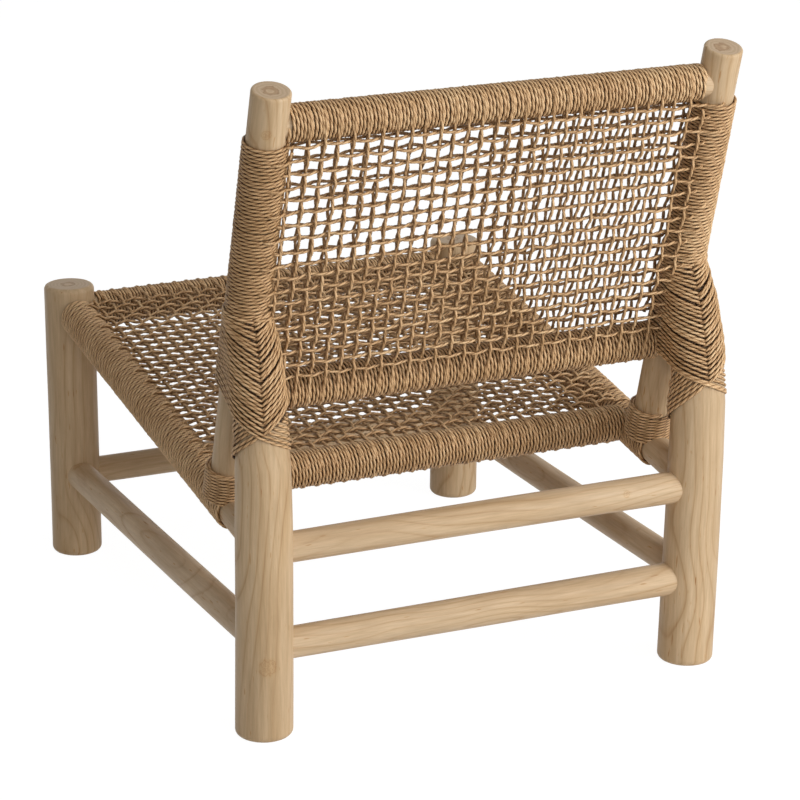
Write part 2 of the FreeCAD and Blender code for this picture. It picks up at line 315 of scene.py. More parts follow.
# Meshes from arrays
def mesh_object(name, points, quads, polygons, values, material):
    """A smooth mesh from points, four-sided faces and other faces, with float values per point by name."""
    mesh = bpy.data.meshes.new(name)
    mesh.from_pydata(points.tolist(), [], quads.tolist() + polygons)
    mesh.polygons.foreach_set("use_smooth", [True] * len(mesh.polygons))
    for key, value in values.items():
        layer = mesh.attributes.new(key, "FLOAT", "POINT")
        layer.data.foreach_set("value", np.broadcast_to(value, len(points)).astype(np.float32))
    mesh.materials.append(material)
    mesh.update()
    piece = bpy.data.objects.new(name, mesh)
    bpy.context.scene.collection.objects.link(piece)
    return piece


def ring_quads(rings, around):
    """Faces between rings of points that follow each other."""
    ring = np.arange(rings - 1)[:, None] * around
    here = np.arange(around)[None, :]
    following = (here + 1) % around
    corners = [ring + here, ring + following, ring + around + following, ring + around + here]
    return np.stack([c.ravel() for c in corners], axis=1)


def end_faces(rings, around, first=0):
    """The two faces that close a tube of rings, whose points are numbered from first on."""
    last = first + (rings - 1) * around
    return [list(range(first, first + around))[::-1], list(range(last, last + around))]


def wander(count, rng, waves, amount):
    """A smooth random curve of count values, made of sine waves."""
    t = np.linspace(0, 1, count)
    curve = np.zeros(count)
    for wave in range(1, waves + 1):
        curve += rng.normal() / wave ** 0.6 * np.sin(2 * np.pi * (wave * t * 0.5 + rng.random()))
    return amount * curve


def placed(origin, direction):
    """The matrix that puts Z along a direction at an origin, and Y to the rear of an upright piece."""
    z = unit(np.asarray(direction, dtype=float))
    y, back = perpendicular(z)
    turn = Matrix((Vector(-back), Vector(y), Vector(z))).transposed().to_4x4()
    return Matrix.Translation(Vector(origin)) @ turn


def finish_piece(piece, node):
    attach(piece, "root")
    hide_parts(node)


# Branch wood
def uneven_skin(count, turns, rng):
    """How far a branch's skin stands out at each ring and turn, as a share of its radius."""
    skin = np.zeros((count, len(turns)))
    for lobe in (2, 3, 4):
        turned = turns[None, :] * lobe + wander(count, rng, 3, 0.5)[:, None] + rng.random() * 6
        skin += uneven_round / lobe ** 0.5 * np.cos(turned)
    return skin + wander(count, rng, 5, uneven_along)[:, None]


def knotted_skin(heights, turns, radii, rows):
    """How far a branch swells at its knots, and how near each point is to one, from 0 to 1."""
    swell = np.zeros((len(heights), len(turns)))
    mark = np.zeros((len(heights), len(turns)))
    for height, turn, size, swelling in rows:
        along = heights[:, None] - height
        apart = np.angle(np.exp(1j * (turns - turn)))[None, :] * radii[:, None]
        mark = np.maximum(mark, np.exp(-(along ** 2 + apart ** 2) / size ** 2))
        near = along ** 2 / (knot_length * size) ** 2 + apart ** 2 / (knot_width * size) ** 2
        swell += swelling * np.exp(-near)
    return swell, mark


def end_rings(edge, worn, way):
    """Rings that round an end's edge and close in over its face."""
    center = edge.mean(axis=0)
    size = np.linalg.norm(edge[0] - center)
    rings = []
    for step in edge_steps:
        turn = step * math.pi / 2
        ring = center + (edge - center) * (1 - worn * (1 - math.cos(turn)) / size)
        ring[:, 2] = edge[:, 2] + way * max(worn, sharp_edge) * math.sin(turn)
        rings.append(ring)
    rim = rings[-1]
    for share in face_shares:
        ring = center + (rim - center) * share
        ring[:, 2] = rim[:, 2]
        rings.append(ring)
    return np.array(rings)


def branch_skin(node, length, radius, rng, worn, lean, bow):
    """Rings of points along a branch between the edges of its ends, and how near each is to a knot."""
    count = max(12, int(length / branch_step))
    heights = np.linspace(worn[0], length - worn[1], count)
    radii = np.array([radius(h) for h in heights])
    turns = np.arange(branch_sides) * 2 * np.pi / branch_sides
    skin = uneven_skin(count, turns, rng)
    swell, mark = knotted_skin(heights, turns, radii, knots.get(node, []))
    reach = radii[:, None] * (1 + skin) + swell
    bend = np.sin(np.pi * heights / length)
    bow_x = bend * (rng.normal() * grown_bow + bow)
    bow_y = bend * rng.normal() * grown_bow
    if lean:
        bow_y = bow_y - np.array([lean(h) for h in heights])
    x = reach * np.cos(turns) + bow_x[:, None]
    y = reach * np.sin(turns) + bow_y[:, None]
    z = np.repeat(heights[:, None], branch_sides, 1)
    return np.stack([x, y, z], axis=2), mark


def branch(node, start, end, radius, seed, worn=(0.0, 0.0), lean=None, pale=0.0, bow=0.0):
    """A round branch along its own Z, with a slightly uneven skin. radius gives its radius along it, lean
    how far its axis stands off to -Y, worn how far each end's edge is rounded, pale is how much sapwood it
    has, and bow how far its middle is out to +X."""
    length = float(np.linalg.norm(end - start))
    body, mark = branch_skin(node, length, radius, np.random.default_rng(seed), worn, lean, bow)
    lower = end_rings(body[0], worn[0], -1)
    upper = end_rings(body[-1], worn[1], 1)
    rings = np.concatenate([lower[::-1], body, upper])
    total = len(rings)
    face_rings = len(face_shares) + 1
    cap = np.zeros(total)
    cap[:face_rings] = 1
    cap[-face_rings:] = 1
    marks = np.zeros((total, branch_sides))
    marks[len(lower):len(lower) + len(body)] = mark
    values = {"cap": np.repeat(cap, branch_sides), "knot": marks.ravel(), "seed": float(seed), "pale": pale}
    quads = ring_quads(total, branch_sides)
    caps = end_faces(total, branch_sides)
    piece = mesh_object(node + "_wood", rings.reshape(-1, 3), quads, caps, values, wood)
    piece.matrix_world = placed(start, end - start)
    finish_piece(piece, node)


# Twisted cord
def interpolated(at, run, vectors):
    return np.stack([np.interp(at, run, vectors[:, axis]) for axis in range(3)], axis=1)


def resampled(path, step):
    """Points evenly spaced along a path, and their places on it and its own points' places, from 0 to 1."""
    run = np.concatenate([[0], np.cumsum(np.linalg.norm(np.diff(path, axis=0), axis=1))])
    count = max(4, int(run[-1] / step))
    at = np.linspace(0, run[-1], count)
    return interpolated(at, run, path), at / run[-1], run / run[-1]


def cord_rings(path, facing, phase, thickness):
    """Rings of points round a path, shaped as two plies twisted round each other, and how far each point
    faces out."""
    along = np.gradient(path, axis=0)
    along /= np.linalg.norm(along, axis=1, keepdims=True)
    side = np.cross(along, facing)
    side /= np.linalg.norm(side, axis=1, keepdims=True)
    out = np.cross(side, along)
    run = np.arange(len(path)) * np.linalg.norm(path[1] - path[0])
    around = len(ply_section)
    turn = (2 * np.pi * run / cord_lay + phase)[:, None] + np.arange(around)[None, :] * 2 * np.pi / around
    reach = thickness / 2 * ply_section
    rings = path[:, None, :] + reach[None, :, None] * (
        np.cos(turn)[..., None] * side[:, None, :] + np.sin(turn)[..., None] * out[:, None, :]
    )
    return rings, np.sin(turn)


def painted_cord_shade(outward, under, step, packed, free):
    """How much shade is painted on each point of a cord, from 0 to 1: on sides turned in, and where it lies
    under others.
    """
    run = np.linspace(0, (len(outward) - 1) * step, len(outward))
    from_end = np.minimum(run, run[::-1]) / max(free, step)
    crowd = packed * np.clip(from_end, free_crowding, 1)[:, None]
    turned_in = np.clip((painted_shade_start - outward) / painted_shade_run, 0, 1)
    return np.clip(crowd * turned_in + under, 0, 1)


def cords(node, paths, facings, seed, thickness=cord_diameter, packed=1.0, buried=None, free=0.0,
          step=cord_step):
    """One piece of many cords. Each path is a line of points, with the way it faces out at each point.
    packed is how much shade is painted on the sides that face its neighbours, free the length at
    each end of a path that has no neighbour on one side, and buried, from 0 to 1 at each point of each
    path, the shade painted on it where it lies under others."""
    rng = np.random.default_rng(seed)
    around = len(ply_section)
    # How deep in the crease between the plies each point lies, where shade is painted
    groove = (1 - ply_section) / (1 - ply_section.min())
    points, quads, caps, grooves, tones, painted_shades = [], [], [], [], [], []
    total = 0
    for number, (path, facing) in enumerate(zip(paths, facings)):
        line, at, share = resampled(path, step)
        faced = interpolated(at, share, facing)
        phase = rng.random() * 6.28
        rings, outward = cord_rings(line, faced, phase, thickness * (1 + cord_unevenness * rng.normal()))
        count = len(rings)
        points.append(rings.reshape(-1, 3))
        quads.append(ring_quads(count, around) + total)
        caps += end_faces(count, around, total)
        grooves.append(np.tile(groove, count))
        tones.append(np.repeat(wander(count, rng, 6, tone_along) + tone_apart * rng.normal(), around))
        under = np.interp(at, share, buried[number])[:, None] if buried else 0.0
        painted_shades.append(painted_cord_shade(outward, under, step, packed, free).ravel())
        total += count * around
    lists = {"groove": grooves, "tone": tones, "shade": painted_shades}
    values = {key: np.concatenate(parts) for key, parts in lists.items()}
    piece = mesh_object(node + "_cord", np.concatenate(points), np.concatenate(quads), caps, values, fibre)
    finish_piece(piece, node)


def winding(start, end, radius, seed, pitch):
    """The path of a close winding round an axis, its ends tucked under, with the way out at each point."""
    rng = np.random.default_rng(seed)
    direction = unit(end - start)
    first, second = perpendicular(direction)
    length = np.linalg.norm(end - start)
    turns = length / pitch
    turn = np.linspace(0, 2 * np.pi * turns, int(turns * turn_points))
    places = np.linspace(0, turn[-1], int(turns * 2) + 2)
    stray = np.interp(turn, places, rng.normal(size=len(places)) * turn_stray)
    raised = np.interp(turn, places, rng.normal(size=len(places)) * turn_rise)
    tuck = np.clip(np.minimum(turn, turn[-1] - turn), 0, 1)
    reach = radius + raised - cord_diameter * tuck_depth * (1 - tuck) ** 2
    out = np.cos(turn)[:, None] * first + np.sin(turn)[:, None] * second
    path = start + (length * turn / turn[-1] + stray)[:, None] * direction + reach[:, None] * out
    return path, out


def binding(node, start, end, wood_radius, seed, packed, thickness=cord_diameter):
    pitch = thickness * turn_pitch / cord_diameter
    path, out = winding(start, end, wood_radius + thickness / 2, seed, pitch)
    cords(node, [path], [out], seed, thickness, packed, free=2 * math.pi * wood_radius)


# Materials
class Nodes:
    """Short ways to add shader nodes to a material or a world."""

    def __init__(self, owner):
        owner.use_nodes = True
        self.tree = owner.node_tree
        self.shader = self.tree.nodes.get("Principled BSDF")

    def add(self, kind, **settings):
        node = self.tree.nodes.new(kind)
        for key, value in settings.items():
            setattr(node, key, value)
        return node

    def feed(self, node, values):
        """Gives a node's inputs numbers, colours or what other nodes put out."""
        for key, value in values.items():
            socket = node.inputs[key]
            if isinstance(value, (int, float)):
                socket.default_value = value
            elif isinstance(value, tuple):
                socket.default_value = (*value, 1)[:len(socket.default_value)]
            else:
                self.tree.links.new(value, socket)

    def value(self, name):
        return self.add("ShaderNodeAttribute", attribute_name=name).outputs["Fac"]

    def math(self, operation, a, b=0.0):
        node = self.add("ShaderNodeMath", operation=operation)
        self.feed(node, {0: a, 1: b})
        return node.outputs[0]

    def place(self):
        return self.add("ShaderNodeTexCoord").outputs["Object"]

    def grain(self, across, along, seed, detail, roughness=0.55, distortion=0.0):
        """A noise with so many cells per metre across the piece's Z and along it."""
        mapping = self.add("ShaderNodeMapping")
        self.feed(mapping, {"Vector": self.place(), "Scale": (across, across, along)})
        node = self.add("ShaderNodeTexNoise", noise_dimensions="4D")
        self.feed(node, {"Vector": mapping.outputs["Vector"], "W": seed, "Scale": 1.0})
        self.feed(node, {"Detail": detail, "Roughness": roughness, "Distortion": distortion})
        return node.outputs["Fac"]

    def ramp(self, factor, *stops):
        node = self.add("ShaderNodeValToRGB")
        elements = node.color_ramp.elements
        while len(elements) < len(stops):
            elements.new(0.5)
        for element, (position, colour) in zip(elements, stops):
            element.position = position
            element.color = (*colour, 1)
        self.feed(node, {"Fac": factor})
        return node.outputs["Color"]

    def mix(self, factor, first, second, blend="MIX"):
        node = self.add("ShaderNodeMix", data_type="RGBA", blend_type=blend)
        self.feed(node, {"Factor": factor, "A": first, "B": second})
        return node.outputs["Result"]

    def tinted(self, colour, amount, factor, *stops):
        """A colour multiplied by a ramp of tints."""
        return self.mix(amount, colour, self.ramp(factor, *stops), "MULTIPLY")

    def bump(self, height, strength, distance):
        node = self.add("ShaderNodeBump")
        self.feed(node, {"Height": height, "Strength": strength, "Distance": distance})
        self.feed(self.shader, {"Normal": node.outputs["Normal"]})


def grey(level):
    return (level, level, level)


# Colours of wood and cord, and the growth rings of the wood
plain = grey(1.0)  # leaves what it multiplies as it is
wood_dark = (0.575, 0.410, 0.246)
wood_middle = (0.628, 0.460, 0.286)
wood_light = (0.668, 0.502, 0.322)
growth_line = (0.76, 0.65, 0.53)
sapwood = (1.10, 1.13, 1.20)
growth_heart = (-0.012, 0.016)  # in the branch's own X and Y
growth_spacing = 0.0085
growth_drift = 9.0  # in rings
end_heart = (0.002, 0.001)
end_spacing = 0.0042
end_drift = 1.5
end_line = (0.530, 0.380, 0.238)
end_light = (0.620, 0.464, 0.308)
cord_dark = (0.52, 0.325, 0.158)
cord_middle = (0.700, 0.462, 0.250)
cord_light = (0.84, 0.60, 0.350)


def teak():
    """Pale sanded teak: soft bands, curved growth lines, fine fibres, rusty flecks, knots and sawn ends."""
    material = bpy.data.materials.new("teak")
    n = Nodes(material)
    seed = n.value("seed")
    streak = n.grain(150, 6.0, seed, 4, 0.6)
    band = n.grain(26, 2.2, seed, 3, 0.5, 0.9)
    patch = n.grain(12, 6, seed, 2)
    fine = n.grain(420, 26, seed, 3, 0.7)
    colour = n.ramp(streak, (0.28, wood_dark), (0.5, wood_middle), (0.72, wood_light))
    colour = n.tinted(colour, 0.6, band, (0.32, (0.83, 0.76, 0.65)), (0.46, plain), (0.57, plain),
                      (0.70, (0.90, 0.83, 0.73)))
    clear = n.ramp(patch, (0.36, grey(0.20)), (0.60, grey(0.90)))
    colour = n.mix(clear, colour, with_growth_lines(n, colour, seed))
    colour = n.tinted(colour, 1.0, patch, (0.32, (0.91, 0.89, 0.86)), (0.68, grey(1.05)))
    colour = n.tinted(colour, 0.9, fine, (0.30, (0.87, 0.85, 0.81)), (0.68, grey(1.08)))
    colour = with_flecks(n, colour, band, seed)
    colour = with_knots(n, colour, seed)
    colour = n.mix(n.value("pale"), colour, n.mix(1.0, colour, sapwood, "MULTIPLY"))
    colour = n.mix(n.value("cap"), colour, sawn_end(n, seed))
    rough = n.ramp(streak, (0.3, grey(0.54)), (0.7, grey(0.44)))
    n.feed(n.shader, {"Base Color": colour, "Roughness": rough, "Specular IOR Level": 0.26})
    n.bump(n.math("ADD", streak, n.math("MULTIPLY", fine, 0.5)), 0.22, 0.0005)
    return material


def away_from(n, heart):
    """The distance from a line along Z."""
    split = n.add("ShaderNodeSeparateXYZ")
    n.feed(split, {0: n.place()})
    x = n.math("SUBTRACT", split.outputs[0], heart[0])
    y = n.math("SUBTRACT", split.outputs[1], heart[1])
    return n.math("SQRT", n.math("ADD", n.math("MULTIPLY", x, x), n.math("MULTIPLY", y, y)))


def ring_share(n, away, spacing, drift, amount):
    """The share of the way from one growth ring to the next, the rings drawn out of true by a noise."""
    turn = n.math("ADD", n.math("MULTIPLY", away, 1 / spacing), n.math("MULTIPLY", drift, amount))
    return n.math("FRACT", turn)


def with_growth_lines(n, colour, seed):
    """Growth rings about a heart off the branch's axis, as its skin cuts them lengthwise."""
    drift = n.grain(11, 4.2, seed, 1)
    share = ring_share(n, away_from(n, growth_heart), growth_spacing, drift, growth_drift)
    return n.tinted(colour, 1.0, share, (0.0, growth_line), (0.10, (0.92, 0.88, 0.82)), (0.22, plain),
                    (0.60, (1.03, 1.03, 1.02)), (0.93, (0.94, 0.91, 0.86)), (1.0, growth_line))


def with_flecks(n, colour, band, seed):
    """Short rusty flecks, more of them in some bands and near knots."""
    rusty = n.math("ADD", n.math("MULTIPLY", band, 0.28), n.math("MULTIPLY", n.value("knot"), 0.07))
    fleck = n.math("ADD", n.grain(430, 48, seed, 1), rusty)
    return n.tinted(colour, 0.85, fleck, (0.83, plain), (0.87, (0.84, 0.66, 0.46)),
                    (0.92, (0.68, 0.48, 0.30)))


def with_knots(n, colour, seed):
    """Knots as two ragged darker rings about a pale middle."""
    ragged = n.math("ADD", n.math("MULTIPLY", n.grain(210, 120, seed, 3), 3.4), -0.7)
    knot = n.math("MULTIPLY", n.value("knot"), ragged)
    return n.tinted(colour, 0.85, knot, (0.10, plain), (0.30, (0.97, 0.94, 0.89)),
                    (0.42, (0.84, 0.72, 0.58)), (0.52, (0.98, 0.94, 0.88)), (0.66, (0.97, 0.92, 0.84)),
                    (0.74, (0.82, 0.70, 0.57)), (0.85, (1, 0.96, 0.9)))


def sawn_end(n, seed):
    """Faint growth rings round a ragged darker ring and a pale heart."""
    wobble = n.grain(130, 40, seed, 3)
    away = away_from(n, end_heart)
    share = ring_share(n, away, end_spacing, wobble, end_drift)
    rings = n.ramp(share, (0.0, end_line), (0.5, end_light), (1.0, end_line))
    edge = n.math("ADD", n.math("MULTIPLY", away, 42.0), n.math("MULTIPLY", wobble, 0.85))
    return n.tinted(rings, 0.85, edge, (0.50, (1.05, 1.04, 1.0)), (0.60, (0.84, 0.75, 0.66)),
                    (0.78, (0.64, 0.52, 0.42)), (0.84, plain))


def twisted_cord():
    """Golden tan fibre cord, uneven in tone, with fine fibres, painted shade between the plies and turns,
    and a slight painted highlight on the sides turned out.
    """
    material = bpy.data.materials.new("twisted_cord")
    n = Nodes(material)
    tone = n.value("tone")
    fine = n.grain(900, 900, tone, 3, 0.7)
    patch = n.grain(45, 45, tone, 3)
    uneven = n.math("ADD", n.math("MULTIPLY", tone, 0.16), patch)
    colour = n.ramp(uneven, (0.2, cord_dark), (0.5, cord_middle), (0.8, cord_light))
    colour = n.tinted(colour, 0.5, fine, (0.3, (0.62, 0.58, 0.52)), (0.65, (1.14, 1.12, 1.08)))
    # Painted shade in the creases between the plies
    colour = n.tinted(colour, 1.0, n.value("groove"), (0.0, plain), (0.4, (0.97, 0.96, 0.94)),
                      (0.75, (0.60, 0.52, 0.44)), (1.0, (0.26, 0.20, 0.15)))
    # Painted shade on sides turned in and on strands under others, and a slight painted highlight where
    # there is none
    colour = n.tinted(colour, 1.0, n.value("shade"), (0.0, grey(1.10)), (0.18, (0.86, 0.82, 0.77)),
                      (0.40, (0.42, 0.34, 0.26)), (0.62, (0.11, 0.076, 0.05)), (1.0, (0.03, 0.02, 0.012)))
    n.feed(n.shader, {"Base Color": colour, "Roughness": 0.52, "Specular IOR Level": 0.35})
    n.bump(fine, 0.4, 0.0004)
    return material


def for_the_eye(n, lit, seen):
    """Shows the shader seen to the camera, also by way of gloss or glass, and the shader lit to light."""
    paths = n.add("ShaderNodeLightPath")
    direct = n.math("MAXIMUM", paths.outputs["Is Camera Ray"], paths.outputs["Is Glossy Ray"])
    direct = n.math("MAXIMUM", direct, paths.outputs["Is Transmission Ray"])
    chosen = n.add("ShaderNodeMixShader")
    n.feed(chosen, {"Fac": direct, 1: lit.outputs[0], 2: seen.outputs[0]})
    return chosen.outputs[0]


def floor_material():
    """White to the camera with a soft contact shadow, and pale to the light that falls on it."""
    material = bpy.data.materials.new("floor")
    n = Nodes(material)
    n.feed(n.shader, {"Base Color": grey(0.86), "Roughness": 0.9})
    white = n.add("ShaderNodeEmission")
    n.feed(white, {"Strength": 1.14})
    seen = n.add("ShaderNodeMixShader")
    n.feed(seen, {"Fac": 0.85, 1: n.shader.outputs[0], 2: white.outputs[0]})
    n.feed(n.tree.nodes["Material Output"], {"Surface": for_the_eye(n, n.shader, seen)})
    return material


wood = teak()
fibre = twisted_cord()


# The frame
def even(radius):
    return lambda height: radius


def tapering(lower, upper, length):
    return lambda height: lower + (upper - lower) * height / length


def core_radius(height):
    return float(np.interp(height, core_heights, core_radii))


def core_lean(height):
    """How far the core's axis leans from the rear leg's axis towards the post."""
    if height < core_heights[-1]:
        return float(np.interp(height, core_heights, core_leans))
    return core_leans[-1] + post_ahead(height) - post_ahead(core_heights[-1])


def hidden_tip(height):
    """The rear leg's radius: above the neck it shrinks away under the lashing."""
    share = (height - neck_height - tip_shrink_start) / tip_shrink_run
    return core_radius(height) - tip_shrink * clamped(share, 0.0, 1.0)


def let_in(node, axis, radius, seed):
    """A bar whose ends are let into the legs or the bars beside it."""
    start, end = axis
    inset = unit(end - start) * socket_floor
    branch(node, start + inset, end - inset, radius, seed, pale=bar_paleness)


def side_branches(side, hand):
    foot = leg_point(front_y, 0, side)
    top = foot + Z * front_leg_height
    branch("front_leg_" + hand, foot, top, even(front_leg_radius), 11 + side, (foot_edge, leg_edge))
    foot = rear_leg_point(0, side)
    tip = rear_leg_point(rear_leg_tip_height, side)
    branch("rear_leg_" + hand, foot, tip, hidden_tip, 21 + side, (foot_edge, foot_edge), core_lean,
           bow=side * leg_bow[side])
    foot = post_foot_point(side) + post_axis * post_foot_lift
    top = post_point(post_top_height, side)
    branch("back_post_" + hand, foot, top, even(post_radius), 31 + side, (0.0, post_edge))
    axis = side_rail_point(front_y, side), side_rail_point(rear_y, side)
    let_in("seat_side_rail_" + hand, axis, even(side_rail_radius), 41 + side)
    axis = leg_point(front_y, side_stretcher_height, side), leg_point(rear_y, side_stretcher_height, side)
    let_in("side_stretcher_" + hand, axis, even(side_stretcher_radius), 51 + side)


def cross_branches():
    length = 2 * (leg_half_spacing - socket_floor)
    for node, axis, radius, seed in (
        ("seat_front_rail", front_rail_axis, even(front_rail_radius), 61),
        ("front_stretcher", across(front_y, front_stretcher_height), even(front_stretcher_radius), 62),
        ("rear_upper_stretcher", across(rear_y, rear_upper_height), tapering(*rear_upper_radii, length), 63),
        ("rear_lower_stretcher", across(rear_y, rear_lower_height), tapering(*rear_lower_radii, length), 64),
        ("seat_rear_rail", rear_rail_axis, even(rear_rail_radius), 65),
        ("back_top_rail", top_rail_axis, even(top_rail_radius), 66),
        ("back_lower_rail", lower_rail_axis, even(lower_rail_radius), 67),
    ):
        let_in(node, axis, radius, seed)


# Bindings of the rails and posts
def rail_bindings():
    front = leg_half_spacing - front_leg_radius - front_wrap_gap
    rear = leg_half_spacing - side_rail_radius + rear_wrap_lap
    back = leg_half_spacing - post_radius - cord_radius
    top = {side: back + lap for side, lap in top_wrap_lap.items()}
    lower = back + lower_wrap_lap
    # packed is the shade painted between each binding's turns
    for node, axis, radius, left, right, seed, packed in (
        ("seat_front_rail_wrap", front_rail_axis, front_rail_radius, front, front, 71, 1.08),
        ("seat_rear_rail_wrap", rear_rail_axis, rear_rail_radius, rear, rear, 72, 1.08),
        ("back_top_rail_wrap", top_rail_axis, top_rail_radius, top[1], top[-1], 73, 1.14),
        ("back_lower_rail_wrap", lower_rail_axis, lower_rail_radius, lower, lower, 74, 1.25),
    ):
        middle = rail_middle(axis)
        binding(node, middle + left * X, middle - right * X, radius, seed, packed)


def side_bindings(side, hand):
    start = side_rail_point(front_y + front_leg_radius - side_wrap_lap, side)
    end = side_rail_point(rear_y - side_wrap_end, side)
    # The numbers 1.3 and 0.86 are the shade painted between the turns of these bindings
    binding("seat_side_rail_wrap_" + hand, start, end, side_rail_radius, 75 + side, 1.3, side_wrap_cord)
    start = post_point(post_top_height, side) - post_axis * post_bare_top[side]
    end = post_point(post_wrap_bottom, side)
    binding("back_post_wrap_" + hand, start, end, post_radius, 85 + side, 0.86)


# Open weave. A layer is laid out from the middle of a rail by distances across, along and out of it
def crossing_height(count, own, parity):
    """Over and under, at each crossing, for the cord numbered own."""
    return np.array([1 if (own + k + parity) % 2 else -1 for k in range(count)], dtype=float)


def woven(start, end, crossings, heights, strays):
    """Distances along a cord, its rise and its sideways stray, smooth between crossings."""
    at = np.linspace(start, end, max(30, int((end - start) / weave_step)))
    stations = np.concatenate([[start], crossings, [end]])
    rise = np.concatenate([[0], heights, [0]])
    stray = np.concatenate([[0], strays, [0]])
    place = np.clip(np.searchsorted(stations, at) - 1, 0, len(stations) - 2)
    share = (at - stations[place]) / (stations[place + 1] - stations[place])
    ease = (1 - np.cos(np.pi * np.clip(share, 0, 1))) / 2
    risen = rise[place] * (1 - ease) + rise[place + 1] * ease
    strayed = stray[place] * (1 - ease) + stray[place + 1] * ease
    return at, risen, strayed


class Layer:
    """One layer of open weave between two rails and two side bars. ends are the rails' middles, bars holds
    the side bars' radius, their height over the rails' line by the share of the way along it, and how far
    each stands out of its place. warps tells where the warps are across it, wefts the first weft and their
    pitch, odd whether its first warp starts over the first weft, and packed is as in cords."""

    def __init__(self, node, ends, way_out, rail_radii, bars, warps, wefts, odd, packed, seed):
        bar_radius, self.bar_height, self.outs = bars
        self.node = node
        self.origin = ends[0]
        self.length = np.linalg.norm(ends[1] - ends[0])
        self.along = unit(ends[1] - ends[0])
        self.out = way_out
        self.faces = [radius + cord_radius for radius in rail_radii]
        self.bar_radius = bar_radius + cord_diameter + net_cord / 2
        self.odd = odd
        self.packed = packed
        self.seed = seed
        self.rng = np.random.default_rng(seed)
        self.columns = self.shaken(warps)
        self.rows = self.shaken(np.arange(wefts[0], self.length - last_weft_gap, wefts[1]))
        self.stray = self.rng.normal(size=(2, len(self.columns), len(self.rows))) * crossing_stray

    def shaken(self, places):
        return places + self.rng.normal(size=len(places)) * place_stray

    def lifted(self, t):
        """How far out the cords lie."""
        return self.faces[0] + (self.faces[1] - self.faces[0]) * t / self.length

    def point(self, x, t, out):
        across_it = np.multiply.outer(x, X)
        along_it = np.multiply.outer(t, self.along)
        return self.origin + across_it + along_it + np.multiply.outer(out, self.out)

    def warp(self, column):
        x = self.columns[column]
        heights = crossing_height(len(self.rows), column, self.odd) * weave_rise
        at, rise, stray = woven(0, self.length, self.rows, heights, self.stray[0, column])
        straight = self.point(x + stray, at, self.lifted(at) + rise)
        if column in (0, len(self.columns) - 1):
            return straight[edge_warp_trim:-edge_warp_trim]
        return np.concatenate([self.round_rail(x, 0, -1)[::-1], straight[1:-1], self.round_rail(x, 1, 1)])

    def round_rail(self, x, end, way):
        """The end of a warp, bent round a rail's binding and tucked into it."""
        turns = np.linspace(0, warp_bend + warp_bend_stray * self.rng.random(), bend_points)
        tuck = np.clip((turns - warp_tuck_start) / warp_tuck_run, 0, 1)
        reach = self.faces[end] + warp_proud - warp_tuck * tuck
        return self.point(x, end * self.length + way * reach * np.sin(turns), reach * np.cos(turns))

    def weft(self, row):
        t = self.rows[row]
        center = self.bar_height(t / self.length)
        lift = self.lifted(t)
        meet = math.asin(clamped((lift - center) / self.bar_radius, -steepest, steepest))
        inset = self.bar_radius * math.cos(meet) - leg_half_spacing
        heights = -crossing_height(len(self.columns), row, self.odd) * weave_rise
        start = inset - self.outs[-1]
        end = self.outs[1] - inset
        at, rise, stray = woven(start, end, self.columns, heights, self.stray[1, :, row])
        straight = self.point(at, t + stray, lift + rise)
        left = self.round_side(t, center, meet, row % 2, 1)
        right = self.round_side(t, center, meet, (row + 1) % 2, -1)
        return np.concatenate([right[::-1], straight[1:-1], left])

    def round_side(self, t, center, meet, far, way):
        """The end of a weft, laid over the binding of a side bar, far or just onto it, and tucked in."""
        last = meet + weft_bends[far] + weft_bend_stray * self.rng.random()
        turns = np.linspace(meet, last, bend_points)
        share = np.linspace(0, 1, bend_points)
        tuck = np.clip((share - weft_tuck_start) / weft_tuck_run, 0, 1)
        reach = self.bar_radius + weft_proud - weft_tuck * tuck ** 2
        x = way * (leg_half_spacing + self.outs[way] - reach * np.cos(turns))
        return self.point(x, t + weft_skew * share, center + reach * np.sin(turns))

    def build(self):
        paths = [self.warp(column) for column in range(len(self.columns))]
        paths += [self.weft(row) for row in range(len(self.rows))]
        faced = [np.tile(self.out, (len(path), 1)) for path in paths]
        cords(self.node, paths, faced, self.seed + 1, net_cord, self.packed, step=net_step)


def warp_places(edge, pitch, shift):
    """Places of a layer's warps: even ones moved by shift, between two at its edges."""
    half = (np.arange(half_warps) + 0.5) * pitch
    inner = np.concatenate([-half[::-1], half])
    return np.concatenate([[-edge], inner + shift(inner), [edge]])


def drawn_aside(x):
    """How far the warps of the back's front layer are drawn aside."""
    return aside_change * (1 - np.exp(-((x - aside_line) / aside_width) ** 2)) - aside_most


def back_weave():
    ends = rail_middle(lower_rail_axis), rail_middle(top_rail_axis)
    radii = (lower_rail_radius, top_rail_radius)
    bars = (post_radius, even(0.0), post_out)
    # packed is the shade painted on the sides of each layer's cords turned away from its way out
    for node, out, shift, wefts, odd, packed, seed in (
        ("back_net_rear", post_rear, even(0.0), (first_weft, weft_pitch), 0, 0.52, 101),
        ("back_net_front", -post_rear, drawn_aside, (far_first_weft, far_weft_pitch), 1, 0.32, 111),
    ):
        warps = warp_places(back_edge_warp, warp_pitch, shift)
        Layer(node, ends, out, radii, bars, warps, wefts, odd, packed, seed).build()


